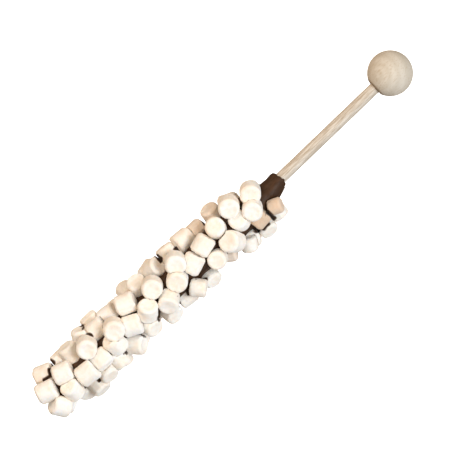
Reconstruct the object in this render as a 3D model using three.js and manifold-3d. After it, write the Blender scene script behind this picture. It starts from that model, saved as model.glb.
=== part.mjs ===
// Ball-ended wooden stirring stick, dipped in chocolate and covered all round with small marshmallows.
//
// Millimetres, +Z up. The stick lies level along X with its ball knob at +X, as it lies on a table: it rests on
// the flat ends of a few marshmallows underneath. Everything is laid out from the stick's dipped end, with the
// stick's own axis as y = 0 and z = 0, and the finished group is then moved so that the middle of its footprint
// is the origin and the table is z = 0.
//
// The ball is bored and pushed on to the stick, the chocolate is a cast coat with a pocket for every marshmallow,
// and neighbouring marshmallows press flat against each other. Nothing moves.

import * as THREE from "three";
import { mergeVertices } from "three/addons/utils/BufferGeometryUtils.js";
import Module from "manifold-3d";

const wasm = await Module();
wasm.setup();

// ---- Driving dimensions ------------------------------------------------------------------------------------

const BALL_DIAMETER = 16;
const STICK_DIAMETER = 4.2;
const DIPPED_LENGTH = 111; // from the stick's lower end to the chocolate's upper edge
const BARE_LENGTH = 44.6; // of stick between the chocolate and the ball
const MARSHMALLOW_DIAMETER = 7;
const MARSHMALLOW_LENGTH = 6.6;

const COAT_RADIUS = 5.7; // of the chocolate that has risen between the marshmallows
const SEAT_RADIUS = 3.4; // down to which a marshmallow is pressed into it
const SHOULDER_RADIUS = 4.2; // of the chocolate above the last marshmallows
const TABLE_DEPTH = 10.45; // from the stick's axis down to the table it lies on
const RIM_CUT = 0.7; // chamfer that stands for a marshmallow's rounded rim
const GAP = 0.3; // left between pieces that touch
const GLUE = 0.15; // round the stick in its holes

const STICK_RADIUS = STICK_DIAMETER / 2;
const BALL_RADIUS = BALL_DIAMETER / 2;
const HOLE_RADIUS = STICK_RADIUS + GLUE;
const BALL_FLAT_RADIUS = 3.1; // the turned flat round the ball's hole
const BALL_FLAT_OFFSET = Math.sqrt(BALL_RADIUS ** 2 - BALL_FLAT_RADIUS ** 2);
const BALL_X = DIPPED_LENGTH + BARE_LENGTH + BALL_FLAT_OFFSET;
const HOLE_DEPTH = 10; // of the ball's blind hole

const ROUND_SIDES = 24;
const COAT_SIDES = 20;
const MARSHMALLOW_SIDES = 10;

// ---- Solids ------------------------------------------------------------------------------------------------

const X_AXIS = new THREE.Vector3(1, 0, 0);
const Y_AXIS = new THREE.Vector3(0, 1, 0);
const Z_AXIS = new THREE.Vector3(0, 0, 1);
const radians = THREE.MathUtils.degToRad;

function solidOf(geometry) {
  const bare = geometry.clone();
  bare.deleteAttribute("normal");
  bare.deleteAttribute("uv");
  const merged = mergeVertices(bare, 1e-3);
  return new wasm.Manifold(
    new wasm.Mesh({
      numProp: 3,
      vertProperties: merged.attributes.position.array,
      triVerts: new Uint32Array(merged.index.array),
    }),
  );
}

function geometryOf(solid) {
  const { vertProperties, triVerts } = solid.getMesh();
  const geometry = new THREE.BufferGeometry();
  geometry.setAttribute("position", new THREE.BufferAttribute(vertProperties, 3));
  geometry.setIndex(new THREE.BufferAttribute(triVerts, 1));
  return geometry;
}

// A solid of revolution about X, from its [x, radius] outline, which starts and ends on the axis.
function turned(outline, sides) {
  const points = outline.map(([x, radius]) => new THREE.Vector2(radius, x));
  return new THREE.LatheGeometry(points, sides).rotateZ(-Math.PI / 2);
}

// ---- Stick and ball ----------------------------------------------------------------------------------------

function stick() {
  const end = BALL_X - BALL_FLAT_OFFSET + HOLE_DEPTH - GLUE;
  const rounding = 0.3;
  return turned(
    [
      [0, 0],
      [0, STICK_RADIUS - rounding],
      [rounding, STICK_RADIUS],
      [end - rounding, STICK_RADIUS],
      [end, STICK_RADIUS - rounding],
      [end, 0],
    ],
    ROUND_SIDES,
  );
}

function ballKnob() {
  const steps = 14;
  const flatAngle = Math.asin(BALL_FLAT_RADIUS / BALL_RADIUS);
  const outline = [];
  for (let i = 0; i <= steps; i++) {
    const angle = Math.PI - flatAngle - ((Math.PI - flatAngle) * i) / steps;
    const radius = i === steps ? 0 : BALL_RADIUS * Math.sin(angle);
    outline.push([BALL_X + BALL_RADIUS * Math.cos(angle), radius]);
  }
  const mouth = BALL_X - BALL_FLAT_OFFSET;
  const hole = [
    [mouth + HOLE_DEPTH, 0],
    [mouth + HOLE_DEPTH, HOLE_RADIUS],
    [mouth, HOLE_RADIUS],
  ];
  return turned([...hole, ...outline], ROUND_SIDES);
}

// ---- Marshmallows ------------------------------------------------------------------------------------------

// The rim's two corners as [distance from the marshmallow's axis, distance from its middle].
function rim(size, extra = 0) {
  const radius = (MARSHMALLOW_DIAMETER * size) / 2 + extra;
  const half = (MARSHMALLOW_LENGTH * size) / 2 + extra;
  return [
    [radius, half - RIM_CUT],
    [radius - RIM_CUT, half],
  ];
}

function marshmallow({ centre, axis, size }, extra = 0) {
  const [side, end] = rim(size, extra);
  const outline = [
    [0, -end[1]],
    [end[0], -end[1]],
    [side[0], -side[1]],
    [side[0], side[1]],
    [end[0], end[1]],
    [0, end[1]],
  ].map(([radius, height]) => new THREE.Vector2(radius, height));
  const turn = new THREE.Quaternion().setFromUnitVectors(Y_AXIS, axis);
  const geometry = new THREE.LatheGeometry(outline, MARSHMALLOW_SIDES);
  geometry.applyQuaternion(turn).translate(centre.x, centre.y, centre.z);
  return solidOf(geometry);
}

// How far a marshmallow reaches from its middle along a direction.
function reach(axis, size, direction) {
  const along = Math.abs(axis.dot(direction));
  const across = Math.sqrt(Math.max(0, 1 - along * along));
  return Math.max(...rim(size).map(([radius, half]) => radius * across + half * along));
}

// Distance from the stick's axis at which a marshmallow sits in the coat.
function seatDistance(axis, size, outward) {
  return SEAT_RADIUS + reach(axis, size, outward);
}

// A marshmallow on the upper side, seen from above at (x, y). Its axis points along heading in the level plane,
// counted from +X towards +Y, and rises from it. Its height follows from the coat that it sits in.
function upper([x, y, heading, rise, size = 1, lift = 0]) {
  const level = Math.cos(radians(rise));
  const axis = new THREE.Vector3(
    level * Math.cos(radians(heading)),
    level * Math.sin(radians(heading)),
    Math.sin(radians(rise)),
  );
  const outward = new THREE.Vector3(0, 0, 1);
  let distance = 0;
  for (let i = 0; i < 8; i++) {
    distance = Math.max(Math.abs(y), seatDistance(axis, size, outward) + lift);
    outward.set(0, y, Math.sqrt(distance * distance - y * y)).normalize();
  }
  const centre = outward.clone().multiplyScalar(distance).setX(x);
  return { centre, axis, size, above: true };
}

// [x, y, heading, rise, size, lift] of each marshmallow on the upper side, from the dipped end up.
const UPPER = [
  [4.6, 7.4, -22, 18, 1.03],
  [1.2, 2.7, -17, 9, 1.03],
  [9.7, 3.4, -19, 9, 1.02, 0.3],
  [1.1, -4.1, 122, 30],
  [8.1, -3.0, 90, 45, 0.97],
  [15.9, -2.4, -6, 12, 1.08, 0.4],
  [20.9, -6.4, -90, 30, 0.97],
  [22.6, -2.2, -90, 12, 0.97],
  [27.0, -6.5, 90, 5, 0.92],
  [21.8, 4.2, 228, 70, 1.02, 1.7],
  [16.2, 6.7, 85, 20],
  [22.8, 7.7, 60, 20, 1.02],
  [28.7, 6.3, -2, 8, 0.97, 0.3],
  [34.6, 7.0, -6, 15, 0.97],
  [32.9, 2.3, 235, 72, 1.06, 1.2],
  [41.8, 5.7, -21, 10, 1.04, 0.4],
  [29.8, -1.7, 100, 35],
  [34.6, -7.0, -45, 25, 0.98],
  [38.4, -1.2, -27, 9, 1.03],
  [45.7, -1.3, 45, 50, 1.0, 0.5],
  [42.9, -5.5, -80, 40, 0.97],
  [49.1, 7.2, 80, 50, 0.98],
  [52.3, 3.5, 225, 72, 1.04, 0.6],
  [57.5, 7.5, -5, 50, 1.02],
  [53.3, -3.9, -140, 50, 1.02, 0.5],
  [51.1, -7.1, -80, 35, 0.97],
  [60.3, -0.7, 222, 70, 1.05],
  [64.0, 4.0, 228, 70, 1.04, 1.2],
  [68.0, -0.2, 20, 8, 1.02],
  [75.0, 1.9, 16, 5, 1.0, 0.3],
  [64.2, 8.1, 85, 5, 0.97],
  [70.9, 7.7, 175, 25, 1.08],
  [63.7, -7.7, -50, 5, 0.9, 1.3],
  [75.4, -5.1, 200, 72, 0.93, 0.4],
  [82.3, 3.0, 90, 75, 1.0],
  [84.8, 7.4, 85, 30, 0.97],
  [83.3, -4.2, 140, 62, 1.1],
  [86.9, -8.9, 60, 20, 0.82],
  [90.7, 5.4, 228, 70, 1.04, 2.3],
  [90.0, -0.7, 100, 72, 0.98, -0.7],
  [95.8, -1.1, 225, 70, 1.0, 1.4],
  [99.3, 3.7, 230, 70, 1.04, 0.3],
  [95.6, -5.1, 5, 10, 0.88],
  [102.4, -5.7, -25, 15, 0.78],
];

// A repeatable number from 0 to 1 that looks random.
function scatter(seed) {
  const value = Math.sin(seed * 12.9898) * 43758.5453;
  return value - Math.floor(value);
}

// A marshmallow of the underside, with its middle at an angle round the stick counted from +Y towards +Z. Its
// axis leans from straight outward by lean degrees, towards spin degrees round from +X.
function under([x, around, lift = 0, lean = null, spin = null], seed) {
  const angle = radians(around);
  const outward = new THREE.Vector3(0, Math.cos(angle), Math.sin(angle));
  const leaning = radians(lean ?? 90 * scatter(seed));
  const spinning = radians(spin ?? 180 * scatter(seed + 0.3));
  const sideways = X_AXIS.clone().applyAxisAngle(outward, spinning);
  const axis = outward.clone().multiplyScalar(Math.cos(leaning));
  axis.addScaledVector(sideways, Math.sin(leaning));
  const size = 0.96 + 0.08 * scatter(seed + 0.6);
  const distance = seatDistance(axis, size, outward) + lift;
  const centre = outward.multiplyScalar(distance).setX(x);
  return { centre, axis, size, above: false };
}

// [x, around, lift, lean, spin] of the marshmallows of each arc on the underside, which stick to each other.
const UNDER = [
  [[4.2, -40], [3.6, -84], [3.2, -124]],
  [[12.6, -12, 0.2, 90, 0], [11.8, -60], [11.5, -102], [11.4, -142]],
  [[20.5, -40], [19.4, -90], [18, -138], [15.5, -176, 0, 20, 90]],
  [[28.8, -18, 3, 90, 0], [29, -55, 0.9], [28.6, -103], [28.2, -150]],
  [[37.8, -28], [37.5, -82], [37, -136]],
  [[44.9, -22, 1.4, 25, 90], [44.8, -66, 0.5], [44.6, -114]],
  [[55.5, -30, 1.8, 70, 10], [55, -68, 1], [53.6, -114]],
  [[62, -46], [61.2, -90], [60, -134], [58.9, -164, 0, 85, 10]],
  [[70, -50], [69.6, -92], [69.4, -135], [69.3, -166, 0, 50, 90]],
  [[76.6, -16, 0.2, 85, 20], [77.2, -64], [78.3, -101], [79.4, -139]],
  [[85.5, -40], [85.6, -84], [87, -127], [89, -162, 0, 60, 20]],
  [[91.6, -40], [93, -84], [93.6, -128], [95.3, -167, 0.8]],
  [[100.3, -64], [100.8, -110], [101.8, -154, 0.6]],
];

// Where two marshmallows of different nodes meet, one of the upper side keeps its shape and dents one of the
// underside. On the same side the outer one does so, and at about the same height each keeps its own side of the
// plane midway between them. The table presses the lowest ones flat.
const BLOCK = 24;
const DOWN = new THREE.Vector3(0, 0, -1);
const CLEARLY_OUTER = 0.7;

function halfSpace(point, direction) {
  const block = new THREE.BoxGeometry(BLOCK, BLOCK, BLOCK).translate(0, 0, BLOCK / 2);
  block.applyQuaternion(new THREE.Quaternion().setFromUnitVectors(Z_AXIS, direction));
  return solidOf(block.translate(point.x, point.y, point.z));
}

function rank({ centre, above }) {
  return above ? TABLE_DEPTH + centre.z : -centre.z;
}

// The solid that a marshmallow loses to a neighbour, or nothing.
function lostTo(other, piece) {
  const lead = rank(piece) - rank(other);
  if (lead > CLEARLY_OUTER) return null;
  if (lead < -CLEARLY_OUTER) return marshmallow(other, GAP);
  const away = other.centre.clone().sub(piece.centre).normalize();
  const face = piece.centre.clone().add(other.centre).multiplyScalar(0.5);
  return halfSpace(face.addScaledVector(away, -GAP / 2), away);
}

function pressed(piece, all) {
  const whole = marshmallow(piece);
  let solid = whole;
  for (const other of all) {
    if (other.node === piece.node || piece.centre.distanceTo(other.centre) > 10) continue;
    if (whole.intersect(marshmallow(other, GAP / 2)).volume() === 0) continue;
    const lost = lostTo(other, piece);
    if (lost) solid = solid.subtract(lost);
  }
  return solid.subtract(halfSpace(piece.centre.clone().setZ(-TABLE_DEPTH), DOWN));
}

function pressTogether(nodes) {
  const all = nodes.flatMap((members, node) => members.map((piece) => ({ ...piece, node })));
  return nodes.map((_, node) => {
    const members = all.filter((piece) => piece.node === node);
    return members.map((piece) => pressed(piece, all)).reduce((joined, solid) => joined.add(solid));
  });
}

// ---- Chocolate coat ----------------------------------------------------------------------------------------

// The coat's [x, radius] outline, from the drip at the dipped end to the bare shoulder above the marshmallows.
function coatOutline() {
  const tip = -1.4;
  const top = DIPPED_LENGTH;
  return [
    [tip, 0],
    [tip + 0.3, 1.9],
    [tip + 1.3, 3.3],
    [tip + 3.6, COAT_RADIUS],
    [top - 14, COAT_RADIUS],
    [top - 10, SHOULDER_RADIUS + 0.3],
    [top - 7, SHOULDER_RADIUS + 0.1],
    [top - 5, 4.0],
    [top - 3, 3.7],
    [top - 1.2, 3.3],
    [top - 0.3, 3.0],
    [top, HOLE_RADIUS + 0.4],
    [top, HOLE_RADIUS],
    [-GLUE, HOLE_RADIUS],
    [-GLUE, 0],
  ];
}

// The shoulder has run a little to one side before it set, and its upper edge is slanted.
const RUN = 0.85;
const SLANT = 0.25;

function letRun(geometry) {
  const { smoothstep } = THREE.MathUtils;
  const points = geometry.attributes.position;
  for (let i = 0; i < points.count; i++) {
    const [x, y, z] = [points.getX(i), points.getY(i), points.getZ(i)];
    const outside = Math.hypot(y, z) > HOLE_RADIUS + 0.5;
    const run = RUN * smoothstep(x, 90, 103) * (1 - smoothstep(x, 103.5, DIPPED_LENGTH - 1));
    if (outside) points.setY(i, y - run);
    if (x > DIPPED_LENGTH - 1) points.setX(i, x - SLANT * y);
  }
  return geometry;
}

// Loose crumbs of chocolate between the marshmallows are left out.
function chocolateCoat(pieces) {
  const coat = letRun(turned(coatOutline(), COAT_SIDES));
  const pocket = (solid, piece) => solid.subtract(marshmallow(piece, GAP));
  const cast = pieces.reduce(pocket, solidOf(coat)).decompose();
  return geometryOf(cast.reduce((most, part) => (part.volume() > most.volume() ? part : most)));
}

// ---- Assembly ----------------------------------------------------------------------------------------------

const wood = new THREE.MeshStandardMaterial({ color: 0xd9c8ae, roughness: 0.7, metalness: 0 });
const chocolate = new THREE.MeshStandardMaterial({ color: 0x4a3629, roughness: 0.45, metalness: 0 });
const marshmallowWhite = new THREE.MeshStandardMaterial({ color: 0xf8efe2, roughness: 0.9, metalness: 0 });

const stirrer = new THREE.Group();

function addPiece(name, geometry, material) {
  const mesh = new THREE.Mesh(geometry, material);
  mesh.name = name;
  stirrer.add(mesh);
}

const uppers = UPPER.map((row) => [upper(row)]);
const arcs = UNDER.map((rows, arc) => rows.map((row, i) => under(row, 10 * arc + i + 1)));
const nodes = [...uppers, ...arcs];

addPiece("stick", stick(), wood);
addPiece("ball_knob", ballKnob(), wood);
addPiece("chocolate_coat", chocolateCoat(nodes.flat()), chocolate);
pressTogether(nodes).forEach((solid, i) => {
  const single = i < uppers.length;
  const number = String(single ? i + 1 : i + 1 - uppers.length).padStart(2, "0");
  const name = single ? `marshmallow_${number}` : `marshmallow_arc_${number}`;
  addPiece(name, geometryOf(solid), marshmallowWhite);
});

// The group is moved, not the pieces: its footprint's middle to the origin, and its lowest point to z = 0.
const box = new THREE.Box3().setFromObject(stirrer);
const middle = box.getCenter(new THREE.Vector3());
const placed = new THREE.Group();
stirrer.position.set(-middle.x, -middle.y, -box.min.z);
placed.add(stirrer);

export default placed;
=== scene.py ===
"""A ball-ended wooden stick, dipped in chocolate and covered all round with small marshmallows.

Everything is in metres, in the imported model's own frame: the stick lies along +X with its ball at the far
end, and the table is z = 0. The turned wood is made afresh. The chocolate and the marshmallows are grown from
copies of their plain solids: remeshed finely, softened and then dented, wrinkled or let run. The single
marshmallows are also made round again; those that are joined into arcs keep their flat sides.
"""

import math

import bmesh
import bpy
import numpy as np
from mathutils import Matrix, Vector, noise
from mathutils.bvhtree import BVHTree


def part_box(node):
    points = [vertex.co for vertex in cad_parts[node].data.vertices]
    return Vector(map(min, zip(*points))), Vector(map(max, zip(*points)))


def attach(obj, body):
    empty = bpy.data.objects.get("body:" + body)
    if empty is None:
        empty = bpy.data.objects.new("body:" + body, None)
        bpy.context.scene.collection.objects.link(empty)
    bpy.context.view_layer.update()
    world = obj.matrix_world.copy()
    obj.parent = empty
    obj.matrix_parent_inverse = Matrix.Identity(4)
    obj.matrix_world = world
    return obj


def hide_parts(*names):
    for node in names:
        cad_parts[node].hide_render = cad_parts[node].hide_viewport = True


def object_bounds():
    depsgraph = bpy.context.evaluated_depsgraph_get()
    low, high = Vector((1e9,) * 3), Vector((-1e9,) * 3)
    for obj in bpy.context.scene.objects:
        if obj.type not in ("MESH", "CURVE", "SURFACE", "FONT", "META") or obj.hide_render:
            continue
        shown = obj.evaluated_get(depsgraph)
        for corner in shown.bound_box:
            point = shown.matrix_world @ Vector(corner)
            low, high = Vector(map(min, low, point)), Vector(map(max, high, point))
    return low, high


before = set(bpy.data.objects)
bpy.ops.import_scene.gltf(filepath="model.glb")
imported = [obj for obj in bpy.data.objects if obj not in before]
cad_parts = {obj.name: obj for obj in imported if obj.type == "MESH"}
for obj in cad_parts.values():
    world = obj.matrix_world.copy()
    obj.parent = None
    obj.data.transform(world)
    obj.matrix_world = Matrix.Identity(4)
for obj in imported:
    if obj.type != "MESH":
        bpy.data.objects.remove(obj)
cad_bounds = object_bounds()

MM = 0.001
MERGE = 0.001 * MM  # vertices nearer than this are one
GLUE_GAP = 0.15 * MM  # round the stick's end, in the ball

# ---- Where things are, from the frame ----------------------------------------------------------------------

stick_low, stick_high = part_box("stick")
ball_low, ball_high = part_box("ball_knob")
coat_low, coat_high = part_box("chocolate_coat")
bounds_low, bounds_high = cad_bounds

STICK_RADIUS = (stick_high.z - stick_low.z) / 2
AXIS_Y = (stick_low.y + stick_high.y) / 2
AXIS_Z = (stick_low.z + stick_high.z) / 2
BALL_RADIUS = (ball_high.z - ball_low.z) / 2
BALL_X = ball_high.x - BALL_RADIUS
BALL_MOUTH_X = ball_low.x
COAT_TOP_X = coat_high.x
MIDDLE = (bounds_low + bounds_high) / 2


# ---- Small helpers -----------------------------------------------------------------------------------------


def srgb(code):
    """A linear colour from its sRGB hex code."""
    parts = [int(code[i : i + 2], 16) / 255 for i in (1, 3, 5)]
    linear = [c / 12.92 if c <= 0.04045 else ((c + 0.055) / 1.055) ** 2.4 for c in parts]
    return (*linear, 1.0)


def add(tree, kind, inputs=None, **settings):
    """Adds a node to a tree. Its inputs are given as values, or as the outputs that they are linked to."""
    made = tree.nodes.new(kind)
    for name, value in settings.items():
        setattr(made, name, value)
    for key, value in (inputs or {}).items():
        if isinstance(value, bpy.types.NodeSocket):
            tree.links.new(value, made.inputs[key])
        else:
            made.inputs[key].default_value = value
    return made


def smoothstep(low, high, value):
    t = min(1.0, max(0.0, (value - low) / (high - low)))
    return t * t * (3 - 2 * t)


def new_object(name, mesh, material):
    for polygon in mesh.polygons:
        polygon.use_smooth = True
    mesh.materials.clear()
    mesh.materials.append(material)
    piece = bpy.data.objects.new(name, mesh)
    bpy.context.scene.collection.objects.link(piece)
    return piece


def stands_for(piece, node):
    """The piece rides on the one body and replaces its plain solid."""
    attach(piece, "root")
    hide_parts(node)


# ---- Materials ---------------------------------------------------------------------------------------------

MIX_FIRST, MIX_SECOND, MIX_RESULT = 6, 7, 2  # the colour sockets of a Mix node


def new_material(name):
    material = bpy.data.materials.new(name)
    material.use_nodes = True
    tree = material.node_tree
    return material, tree, tree.nodes["Principled BSDF"]


def axis_coordinates(tree, scale=(1, 1, 1)):
    """Object coordinates centred on the stick's dipped end, with X along the stick."""
    origin = add(tree, "ShaderNodeTexCoord").outputs["Object"]
    centred = add(
        tree,
        "ShaderNodeVectorMath",
        {0: origin, 1: (stick_low.x, AXIS_Y, AXIS_Z)},
        operation="SUBTRACT",
    )
    return add(
        tree,
        "ShaderNodeVectorMath",
        {0: centred.outputs[0], 1: scale},
        operation="MULTIPLY",
    ).outputs[0]


def per_mm(*lengths):
    """The scale that makes a pattern of size 1 as long as this many millimetres each way."""
    return tuple(1 / (length * MM) for length in lengths)


def blend(tree, factor, first, second):
    """A colour that goes from the first to the second as the factor goes from 0 to 1."""
    inputs = {0: factor, MIX_FIRST: first, MIX_SECOND: second}
    return add(tree, "ShaderNodeMix", inputs, data_type="RGBA").outputs[MIX_RESULT]


def bump(tree, strength, depth, height, **others):
    """A normal from a height, with the depth in millimetres."""
    inputs = {"Strength": strength, "Distance": depth * MM, "Height": height, **others}
    return add(tree, "ShaderNodeBump", inputs).outputs[0]


def set_values(shader, values):
    for name, value in values.items():
        shader.inputs[name].default_value = value


def marshmallow_material():
    """Moulded marshmallow foam dusted with starch: soft, pale and dry, and light goes a little way in."""
    material, tree, shader = new_material("starch_dusted_marshmallow")
    where = axis_coordinates(tree)

    # Each marshmallow is a little paler or creamier than the next, and its skin is faintly blotched.
    broad = add(tree, "ShaderNodeTexNoise", {"Vector": where, "Scale": per_mm(7)[0], "Detail": 1})
    blotches = add(tree, "ShaderNodeTexNoise", {"Vector": where, "Scale": per_mm(1.6)[0], "Detail": 4})
    tone = add(
        tree,
        "ShaderNodeMath",
        {0: broad.outputs["Fac"], 1: blotches.outputs["Fac"]},
        operation="ADD",
    )
    cream = add(tree, "ShaderNodeMapRange", {"Value": tone.outputs[0], "From Min": 0.8, "From Max": 1.25})
    skin = blend(tree, cream.outputs[0], srgb("#fdfaf4"), srgb("#f8ecde"))
    # A few listed marshmallows are tinted beige all over: painted shade.
    painted_shade_amount = add(tree, "ShaderNodeAttribute", attribute_name="painted_shade")
    skin_with_painted_shade = blend(tree, painted_shade_amount.outputs["Fac"], skin, srgb("#dcbd9d"))

    # Chocolate has crept a little way up each one where it sits in the coat. The same brown is also painted
    # into the narrow gaps between neighbours, partly chocolate run up there and partly painted shade.
    flat = add(tree, "ShaderNodeVectorMath", {0: where, 1: (0, 1, 1)}, operation="MULTIPLY")
    from_axis = add(tree, "ShaderNodeVectorMath", {0: flat.outputs[0]}, operation="LENGTH")
    creep = add(tree, "ShaderNodeTexNoise", {"Vector": where, "Scale": per_mm(1.2)[0], "Detail": 3})
    edge = add(
        tree,
        "ShaderNodeMath",
        {0: creep.outputs["Fac"], 1: 1.3 * MM, 2: from_axis.outputs["Value"]},
        operation="MULTIPLY_ADD",
    )
    stain = add(
        tree,
        "ShaderNodeMapRange",
        {"Value": edge.outputs[0], "From Min": 5.1 * MM, "From Max": 4.8 * MM},
    )
    # Brown painted into the gaps between neighbours, partly chocolate and partly painted shade.
    gap_shade_and_chocolate = add(tree, "ShaderNodeAttribute", attribute_name="gap_shade_and_chocolate")
    chocolate_and_gap_shade = add(
        tree,
        "ShaderNodeMath",
        {0: stain.outputs[0], 1: gap_shade_and_chocolate.outputs["Fac"]},
        operation="MAXIMUM",
    )
    colour = blend(tree, chocolate_and_gap_shade.outputs[0], skin_with_painted_shade, srgb("#3f2917"))
    tree.links.new(colour, shader.inputs["Base Color"])

    # Fine creases of the skin, and starch grains drawn coarse enough to show.
    creases = add(
        tree,
        "ShaderNodeTexNoise",
        {"Vector": where, "Scale": per_mm(0.9)[0], "Detail": 5, "Roughness": 0.6, "Distortion": 0.6},
    )
    grains = add(tree, "ShaderNodeTexNoise", {"Vector": where, "Scale": per_mm(0.18)[0], "Detail": 2})
    coarse = bump(tree, 0.5, 0.22, creases.outputs["Fac"])
    fine = bump(tree, 0.35, 0.05, grains.outputs["Fac"], Normal=coarse)
    tree.links.new(fine, shader.inputs["Normal"])
    set_values(
        shader,
        {
            "Roughness": 0.8,
            "Specular IOR Level": 0.25,
            "Sheen Weight": 0.12,
            "Subsurface Weight": 0.35,
            "Subsurface Radius": (1.0, 0.85, 0.72),
            "Subsurface Scale": 0.9 * MM,
        },
    )
    return material


def chocolate_material():
    """Dark couverture, dipped and air-set: a satin skin with cloudy brown streaks and a few small pits."""
    material, tree, shader = new_material("dark_dipped_chocolate")
    where = axis_coordinates(tree)
    clouds = add(
        tree,
        "ShaderNodeTexNoise",
        {"Vector": axis_coordinates(tree, per_mm(4, 1.5, 1.5)), "Scale": 1, "Detail": 5, "Distortion": 0.5},
    )
    spread = add(
        tree,
        "ShaderNodeMapRange",
        {"Value": clouds.outputs["Fac"], "From Min": 0.3, "From Max": 0.72},
    )
    colour = blend(tree, spread.outputs[0], srgb("#33200f"), srgb("#4b321f"))
    tree.links.new(colour, shader.inputs["Base Color"])
    dull = add(
        tree,
        "ShaderNodeMapRange",
        {"Value": clouds.outputs["Fac"], "To Min": 0.38, "To Max": 0.6},
    )
    tree.links.new(dull.outputs[0], shader.inputs["Roughness"])
    ripples = add(tree, "ShaderNodeTexNoise", {"Vector": where, "Scale": per_mm(0.8)[0], "Detail": 4})
    tree.links.new(bump(tree, 0.5, 0.2, ripples.outputs["Fac"]), shader.inputs["Normal"])
    set_values(shader, {"IOR": 1.47, "Specular IOR Level": 0.2})
    return material


def dowel_material():
    """Birch dowel, sanded and left bare: straight pale grain with short darker pores along it."""
    material, tree, shader = new_material("bare_birch_dowel")
    grain = add(
        tree,
        "ShaderNodeTexNoise",
        {"Vector": axis_coordinates(tree, per_mm(6, 0.4, 0.4)), "Scale": 1, "Detail": 4, "Roughness": 0.6},
    )
    spread = add(
        tree,
        "ShaderNodeMapRange",
        {"Value": grain.outputs["Fac"], "From Min": 0.34, "From Max": 0.62},
    )
    body = blend(tree, spread.outputs[0], srgb("#b0a08a"), srgb("#dfd7ca"))
    pores = add(
        tree,
        "ShaderNodeTexNoise",
        {"Vector": axis_coordinates(tree, per_mm(3.5, 0.25, 0.25)), "Scale": 1, "Detail": 2},
    )
    dark = add(
        tree,
        "ShaderNodeMapRange",
        {"Value": pores.outputs["Fac"], "From Min": 0.64, "From Max": 0.74, "To Max": 0.55},
    )
    colour = blend(tree, dark.outputs[0], body, srgb("#a98b66"))
    tree.links.new(colour, shader.inputs["Base Color"])
    tree.links.new(bump(tree, 0.4, 0.08, grain.outputs["Fac"]), shader.inputs["Normal"])
    set_values(shader, {"Roughness": 0.65, "Specular IOR Level": 0.3})
    return material


def ball_material():
    """Turned and tumbled birch ball, barely waxed: faint growth rings, short flecks and a soft shine."""
    material, tree, shader = new_material("tumbled_birch_ball")
    place = add(tree, "ShaderNodeTexCoord").outputs["Object"]
    centred = add(
        tree,
        "ShaderNodeVectorMath",
        {0: place, 1: (BALL_X - 2.5 * MM, AXIS_Y + 1.5 * MM, AXIS_Z)},
        operation="SUBTRACT",
    )
    leaning = add(
        tree,
        "ShaderNodeVectorRotate",
        {"Vector": centred.outputs[0], "Axis": (0.4, 1, 0), "Angle": math.radians(14)},
    )
    rings = add(
        tree,
        "ShaderNodeTexWave",
        {
            "Vector": leaning.outputs[0],
            "Scale": per_mm(9)[0],
            "Distortion": 0.8,
            "Detail": 2,
            "Detail Scale": 1.3,
        },
        wave_type="RINGS",
        rings_direction="Z",
    )
    soft = add(tree, "ShaderNodeMapRange", {"Value": rings.outputs["Fac"], "To Min": 0.2, "To Max": 0.62})
    body = blend(tree, soft.outputs[0], srgb("#dad2c4"), srgb("#c6bcaa"))
    stretched = add(
        tree,
        "ShaderNodeVectorMath",
        {0: leaning.outputs[0], 1: per_mm(2.4, 0.35, 0.35)},
        operation="MULTIPLY",
    )
    flecks = add(tree, "ShaderNodeTexNoise", {"Vector": stretched.outputs[0], "Scale": 1, "Detail": 3})
    dark = add(
        tree,
        "ShaderNodeMapRange",
        {"Value": flecks.outputs["Fac"], "From Min": 0.52, "From Max": 0.7, "To Max": 0.6},
    )
    flecked = blend(tree, dark.outputs[0], body, srgb("#b8a58a"))

    # The turned flat round the hole is painted darker: painted shade for the recess where the ball meets the
    # stick.
    along = add(tree, "ShaderNodeSeparateXYZ", {0: place})
    flat = add(
        tree,
        "ShaderNodeMapRange",
        {
            "Value": along.outputs["X"],
            "From Min": BALL_MOUTH_X + 0.7 * MM,
            "From Max": BALL_MOUTH_X + 0.2 * MM,
            "To Max": 0.8,
        },
    )
    colour = blend(tree, flat.outputs[0], flecked, srgb("#7d6549"))
    tree.links.new(colour, shader.inputs["Base Color"])
    tree.links.new(bump(tree, 0.25, 0.06, flecks.outputs["Fac"]), shader.inputs["Normal"])
    set_values(shader, {"Roughness": 0.6, "Specular IOR Level": 0.25})
    return material


# ---- Turned wood -------------------------------------------------------------------------------------------


def turned(name, outline, steps, material):
    """A piece turned on the stick's axis from its [x, radius] outline."""
    bm = bmesh.new()
    points = [bm.verts.new((x, AXIS_Y, AXIS_Z + radius)) for x, radius in outline]
    for first, second in zip(points, points[1:]):
        bm.edges.new((first, second))
    bmesh.ops.spin(
        bm,
        geom=bm.verts[:] + bm.edges[:],
        cent=(0, AXIS_Y, AXIS_Z),
        axis=(1, 0, 0),
        angle=math.tau,
        steps=steps,
        use_merge=True,
    )
    bmesh.ops.remove_doubles(bm, verts=bm.verts, dist=MERGE)
    bmesh.ops.recalc_face_normals(bm, faces=bm.faces)
    mesh = bpy.data.meshes.new(name)
    bm.to_mesh(mesh)
    bm.free()
    return new_object(name, mesh, material)


def make_stick():
    """A square-cut dowel with broken edges, in short lengths so that its mesh is even."""
    low, high = stick_low.x, stick_high.x
    rounding = 0.3 * MM
    outline = [
        (low, 0),
        (low, STICK_RADIUS - rounding),
        (low + 0.3 * rounding, STICK_RADIUS - 0.3 * rounding),
        (low + rounding, STICK_RADIUS),
    ]
    length = high - low - 2 * rounding
    lengths = 60
    outline += [(low + rounding + length * i / lengths, STICK_RADIUS) for i in range(1, lengths)]
    outline += [(high - rounding, STICK_RADIUS), (high, STICK_RADIUS - rounding), (high, 0)]
    piece = turned("birch_stick", outline, 48, dowel_material())
    stands_for(piece, "stick")


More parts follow.
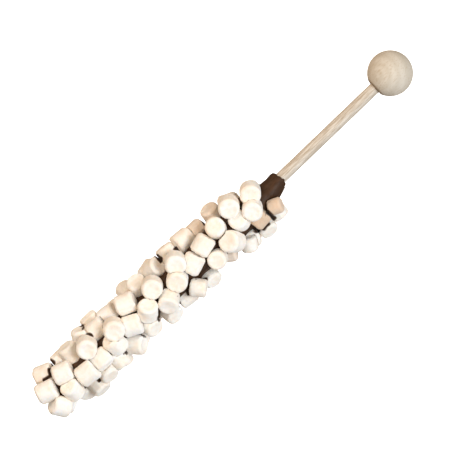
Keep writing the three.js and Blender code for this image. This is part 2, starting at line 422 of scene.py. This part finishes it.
def make_ball():
    """A ball with a blind hole and a small flat round its mouth."""
    mouth_radius = math.sqrt(BALL_RADIUS**2 - (BALL_X - BALL_MOUTH_X) ** 2)
    hole_radius = STICK_RADIUS + GLUE_GAP
    hole_end = stick_high.x + GLUE_GAP
    rounding = 0.25 * MM
    outline = [
        (hole_end, 0),
        (hole_end, hole_radius),
        (BALL_MOUTH_X + rounding, hole_radius),
        (BALL_MOUTH_X, hole_radius + rounding),
        (BALL_MOUTH_X, mouth_radius - rounding),
    ]
    start = math.pi - math.asin((mouth_radius + rounding) / BALL_RADIUS)
    arcs = 64
    for i in range(arcs):
        angle = start * (1 - i / arcs)
        outline.append((BALL_X + BALL_RADIUS * math.cos(angle), BALL_RADIUS * math.sin(angle)))
    outline.append((BALL_X + BALL_RADIUS, 0))
    piece = turned("birch_ball", outline, 96, ball_material())
    stands_for(piece, "ball_knob")


# ---- Soft and poured pieces, grown from their plain solids -------------------------------------------------


SMOOTHINGS = 4


def remeshed(node, voxel):
    """A fine, evenly meshed and softened copy of a CAD node's mesh, in a bmesh."""
    bm = bmesh.new()
    bm.from_mesh(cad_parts[node].data)
    bmesh.ops.remove_doubles(bm, verts=bm.verts, dist=MERGE)
    mesh = bpy.data.meshes.new("plain")
    bm.to_mesh(mesh)
    bm.free()
    plain = bpy.data.objects.new("plain", mesh)
    bpy.context.scene.collection.objects.link(plain)
    remesh = plain.modifiers.new("remesh", "REMESH")
    remesh.mode = "VOXEL"
    remesh.voxel_size = voxel
    smooth = plain.modifiers.new("smooth", "SMOOTH")
    smooth.factor = 0.5
    smooth.iterations = SMOOTHINGS
    evaluated = plain.evaluated_get(bpy.context.evaluated_depsgraph_get())
    fine = bmesh.new()
    fine.from_mesh(evaluated.to_mesh())
    evaluated.to_mesh_clear()
    bpy.data.objects.remove(plain)
    bpy.data.meshes.remove(mesh)
    fine.normal_update()
    return fine


def tree_of(node):
    """A tree of a CAD node's faces, to measure distances to it."""
    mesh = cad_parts[node].data
    return BVHTree.FromPolygons([v.co for v in mesh.vertices], [p.vertices for p in mesh.polygons])


# A plain marshmallow is a ten-sided barrel with a chamfered rim.
BARREL_SIDES = 10
RADIUS_TO_HALF = 3.5 / 3.3
RIM = 0.7 * MM
PARALLEL = 0.9999  # the least cosine between directions that count as one
SMALLEST_SIDE = (1.2 * MM) ** 2  # smaller faces are too cut away to find the axis by


def facets_of(node):
    """The directions that a CAD node's faces look in, each with its area and its distance out."""
    bm = bmesh.new()
    bm.from_mesh(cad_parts[node].data)
    facets = []
    for face in bm.faces:
        area = face.calc_area()
        reach = face.normal.dot(face.verts[0].co)
        for facet in facets:
            level = abs(facet["reach"] - reach) < 0.01 * MM
            if level and facet["normal"].dot(face.normal) > PARALLEL:
                facet["area"] += area
                break
        else:
            facets.append({"normal": face.normal.copy(), "area": area, "reach": reach})
    bm.free()
    return facets


def barrel_of(node):
    """A marshmallow's middle, axis, half length, radius and directions across it, read from its plain solid.

    Its round ends are the largest pair of faces that look in opposite directions. The faces that look square
    to them are its sides, which are all as far from its axis.
    """
    facets = facets_of(node)
    pairs = [
        (one["area"] + other["area"], one, other)
        for i, one in enumerate(facets)
        for other in facets[i + 1 :]
        if one["normal"].dot(other["normal"]) < -PARALLEL
    ]
    _, one, other = max(pairs, key=lambda pair: pair[0])
    axis = one["normal"]
    half = (one["reach"] + other["reach"]) / 2
    radius = half * RADIUS_TO_HALF
    apothem = radius * math.cos(math.pi / BARREL_SIDES)
    sides = [f for f in facets if abs(f["normal"].dot(axis)) < 0.01 and f["area"] > SMALLEST_SIDE]
    first = max(sides, key=lambda side: side["area"])["normal"]
    second = axis.cross(first)
    angles = [math.atan2(side["normal"].dot(second), side["normal"].dot(first)) for side in sides]
    step = math.tau / BARREL_SIDES
    square = [abs(angle / step - round(angle / step)) < 0.02 for angle in angles]
    rows = [(math.cos(angle), math.sin(angle)) for angle, kept in zip(angles, square) if kept]
    reaches = [side["reach"] - apothem for side, kept in zip(sides, square) if kept]
    across = np.linalg.lstsq(np.array(rows), np.array(reaches), rcond=None)[0]
    middle = axis * (one["reach"] - other["reach"]) / 2 + first * across[0] + second * across[1]
    return {
        "middle": middle,
        "axis": axis,
        "half": half,
        "radius": radius,
        "first": first,
        "second": second,
    }


MARSHMALLOW_VOXEL = 0.2 * MM
ABOVE_TABLE = 0.02 * MM
SWELL = 0.08 * MM  # closes the plain solids' gaps to a thin dark line


def dents(point, seed):
    """How far a marshmallow's skin stands out of its plain shape: broad dents and small creases."""
    offset = Vector((seed * 3.7, seed * 1.3, -seed * 2.1))
    broad = noise.noise(point / (3.2 * MM) + offset)
    small = noise.noise(point / (1.1 * MM) + offset)
    return (0.11 * broad + 0.05 * small) * MM


# Where dark brown is painted into the gaps between the marshmallows, partly chocolate run up there and partly
# painted shade, in millimetres: the distance from the dipped end, the distance from the axis towards +Y, and
# the radius.
GAP_SHADE_AND_CHOCOLATE_SPOTS = [
    (9.3, 9.2, 1.9),
    (6.2, 6.8, 2.0),
    (3.8, 5.9, 1.4),
    (25.1, 10.4, 1.1),
    (24.9, 6.2, 1.6),
    (16.7, -6.8, 1.0),
    (29.9, -6.5, 0.9),
    (38.5, -6.6, 1.1),
    (47.5, -6.6, 2.0),
    (56.2, -6.6, 2.2),
    (60.0, -6.0, 1.6),
    (66.4, -6.4, 2.4),
    (71.6, -7.2, 2.2),
    (60.4, 9.2, 2.0),
    (67.2, 6.6, 1.8),
    (70.5, 5.0, 1.5),
    (79.6, 7.0, 2.4),
    (92.3, -7.0, 1.6),
    (95.5, -8.1, 2.4),
    (99.3, -7.0, 2.4),
]


FAR = 2 * MM  # neighbours further off than this don't matter


def gap_shade_and_chocolate_at(point, node, trees):
    """How much dark brown is painted on a marshmallow's skin at a point, partly chocolate and partly painted
    shade in the gap: only close to a neighbour, and in one of the listed spots.
    """
    run = 0
    for x, y, radius in GAP_SHADE_AND_CHOCOLATE_SPOTS:
        distance = math.hypot(point.x - stick_low.x - x * MM, point.y - AXIS_Y - y * MM)
        run = max(run, 1 - smoothstep(0.8 * radius * MM, radius * MM, distance))
    if run == 0:
        return 0
    ragged = 0.3 * MM * noise.noise(point / (1.4 * MM))
    gap = FAR
    for other, tree in trees.items():
        if other != node:
            distance = tree.find_nearest(point, gap)[3]
            gap = gap if distance is None else min(gap, distance)
    return run * (1 - smoothstep(1.2 * MM, 1.7 * MM, gap + ragged))


# How much flat beige painted shade each listed marshmallow gets all over, from 0 to 1.
PAINTED_SHADE_ON_MARSHMALLOWS = {"marshmallow_43": 0.8, "marshmallow_44": 0.75, "marshmallow_36": 0.2, "marshmallow_arc_10": 0.4}

# Depths of the dimples in the marshmallows' ends, in millimetres.
DEEP_DIMPLES = {"marshmallow_18": 0.6, "marshmallow_20": 0.5}
SHALLOW_DIMPLE = 0.2


def place_in(barrel, point):
    """A point's distance along a barrel's axis, its distance from it and its angle round it."""
    offset = point - barrel["middle"]
    first, second = offset.dot(barrel["first"]), offset.dot(barrel["second"])
    return offset.dot(barrel["axis"]), math.hypot(first, second), math.atan2(second, first)


def rounding_out(barrel, along, radius, turn):
    """How far a point on a flat side of the plain barrel has to move out to make the side round."""
    step = math.tau / BARREL_SIDES
    from_middle = (turn + step / 2) % step - step / 2
    flat = barrel["radius"] * math.cos(step / 2) / math.cos(from_middle)
    here = flat - max(0, abs(along) - barrel["half"] + RIM)
    return (barrel["radius"] - flat) * smoothstep(here - 0.5 * MM, here - 0.15 * MM, radius)


def puckered_end(barrel, along, radius, turn, depth, seed):
    """The dimple and the radial folds that moulding leaves in a marshmallow's ends."""
    ending = smoothstep(0.78 * barrel["half"], 0.98 * barrel["half"], abs(along))
    folds = 5 + seed % 3
    fold = math.cos(folds * turn + seed)
    dimple = -depth * math.exp(-((radius / (2.1 * MM)) ** 4))
    ring = 0.03 * math.sin(radius / (0.5 * MM) + seed)
    return ending * (dimple + 0.045 * fold * smoothstep(0.6 * MM, 2.4 * MM, radius) + ring) * MM


def make_marshmallow(node, seed, material, trees):
    """A marshmallow or an arc of them. Only a single one has an axis, so only it is rounded and puckered."""
    bm = remeshed(node, MARSHMALLOW_VOXEL)
    barrel = None if "arc" in node else barrel_of(node)
    depth = DEEP_DIMPLES.get(node, SHALLOW_DIMPLE)
    normals = [v.normal.copy() for v in bm.verts]
    for v, normal in zip(bm.verts, normals):
        stand = SWELL + dents(v.co, seed)
        if barrel:
            along, radius, turn = place_in(barrel, v.co)
            stand += puckered_end(barrel, along, radius, turn, depth, seed)
            outward = v.co - barrel["middle"] - barrel["axis"] * along
            outward.normalize()
            v.co += outward * rounding_out(barrel, along, radius, turn)
        v.co += normal * stand
        v.co.z = max(v.co.z, ABOVE_TABLE)
    # Dark brown painted into the gaps next to neighbours, partly chocolate and partly painted shade.
    gap_shade_and_chocolate_amounts = [gap_shade_and_chocolate_at(v.co, node, trees) for v in bm.verts]
    mesh = bpy.data.meshes.new(node)
    bm.to_mesh(mesh)
    bm.free()
    mesh.attributes.new("gap_shade_and_chocolate", "FLOAT", "POINT").data.foreach_set("value", gap_shade_and_chocolate_amounts)
    # The amount of flat beige painted shade, the same over the whole piece.
    painted_shade = [PAINTED_SHADE_ON_MARSHMALLOWS.get(node, 0)] * len(gap_shade_and_chocolate_amounts)
    mesh.attributes.new("painted_shade", "FLOAT", "POINT").data.foreach_set("value", painted_shade)
    piece = new_object(node.replace("marshmallow", "soft_marshmallow"), mesh, material)
    stands_for(piece, node)


COAT_VOXEL = 0.3 * MM


def make_coat():
    """The chocolate, with lumps where it was thick, and a ragged upper edge."""
    bm = remeshed("chocolate_coat", COAT_VOXEL)
    bore = STICK_RADIUS + 0.5 * MM
    normals = [v.normal.copy() for v in bm.verts]
    for v, normal in zip(bm.verts, normals):
        from_axis = math.hypot(v.co.y - AXIS_Y, v.co.z - AXIS_Z)
        outer = smoothstep(bore, bore + 1.0 * MM, from_axis)
        lumps = 0.22 * noise.noise(v.co / (3.5 * MM)) + 0.07 * noise.noise(v.co / (1.1 * MM))
        v.co += normal * (outer * lumps * MM)
        near_top = smoothstep(COAT_TOP_X - 2.5 * MM, COAT_TOP_X - 0.5 * MM, v.co.x)
        across = Vector((0, v.co.y, v.co.z)) / (1.1 * MM)
        v.co.x += near_top * 0.55 * MM * (noise.noise(across) - 0.25)
        v.co.x -= near_top * 0.6 * max(0, AXIS_Y - 0.8 * MM - v.co.y)
    mesh = bpy.data.meshes.new("chocolate_coat")
    bm.to_mesh(mesh)
    bm.free()
    piece = new_object("dipped_chocolate", mesh, chocolate_material())
    stands_for(piece, "chocolate_coat")


# ---- Stage -------------------------------------------------------------------------------------------------

VIEW_WIDTH = 155.8 * MM  # of the table that the picture takes in
VIEW_TURN = 43.8  # degrees that the stick leans in the picture
VIEW_AIM = Vector((85.35, 1.64)) * MM  # the picture's middle, from the stick's dipped end and its axis
LENS = 400
SENSOR = 36
BACKDROP_SIZE = 0.44
BACKDROP_DROP = 0.6


def make_camera():
    """Straight above the table, far off with a long lens."""
    data = bpy.data.cameras.new("camera")
    data.lens = LENS
    data.sensor_width = SENSOR
    data.clip_end = 10
    camera = bpy.data.objects.new("camera", data)
    distance = VIEW_WIDTH * LENS / SENSOR
    camera.location = (stick_low.x + VIEW_AIM.x, AXIS_Y + VIEW_AIM.y, AXIS_Z + distance)
    camera.rotation_euler = (0, 0, -math.radians(VIEW_TURN))
    bpy.context.scene.collection.objects.link(camera)
    bpy.context.scene.camera = camera


def area_light(name, place, size, power, colour):
    """A square soft box, aimed at the object's middle."""
    data = bpy.data.lights.new(name, "AREA")
    data.shape = "SQUARE"
    data.size = size
    data.energy = power
    data.color = srgb(colour)[:3]
    light = bpy.data.objects.new(name, data)
    light.location = place
    light.rotation_euler = (MIDDLE - Vector(place)).to_track_quat("-Z", "Y").to_euler()
    bpy.context.scene.collection.objects.link(light)


def make_lights():
    area_light("key_from_above", (0.7, -0.6, 1.7), 0.7, 25, "#f6fbff")
    area_light("warm_fill_from_back", (-0.1, 0.62, 0.5), 0.5, 3.3, "#ffe6cf")
    area_light("cool_fill_from_front", (0.1, -0.6, 0.25), 0.5, 1.2, "#dbe9ff")
    world = bpy.data.worlds.new("studio")
    world.use_nodes = True
    tree = world.node_tree
    set_values(tree.nodes["Background"], {"Color": srgb("#ffeeda"), "Strength": 0.35})
    bpy.context.scene.world = world
    bpy.context.scene.view_settings.view_transform = "Standard"


def make_backdrop():
    """A lit white panel that fills the picture, but is so far below that it throws little light back."""
    bm = bmesh.new()
    bmesh.ops.create_grid(bm, x_segments=1, y_segments=1, size=BACKDROP_SIZE / 2)
    bmesh.ops.translate(bm, verts=bm.verts, vec=(0, 0, -BACKDROP_DROP))
    mesh = bpy.data.meshes.new("backdrop")
    bm.to_mesh(mesh)
    bm.free()
    material, _, shader = new_material("lit_white_panel")
    white = srgb("#ffffff")
    set_values(
        shader,
        {
            "Base Color": white,
            "Roughness": 1,
            "Specular IOR Level": 0,
            "Emission Color": white,
            "Emission Strength": 1,
        },
    )
    new_object("backdrop", mesh, material)


make_camera()
make_lights()
make_backdrop()
make_stick()
make_ball()
make_coat()
foam = marshmallow_material()
marshmallows = sorted(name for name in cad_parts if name.startswith("marshmallow"))
trees = {name: tree_of(name) for name in marshmallows}
for number, name in enumerate(marshmallows):
    make_marshmallow(name, number, foam, trees)
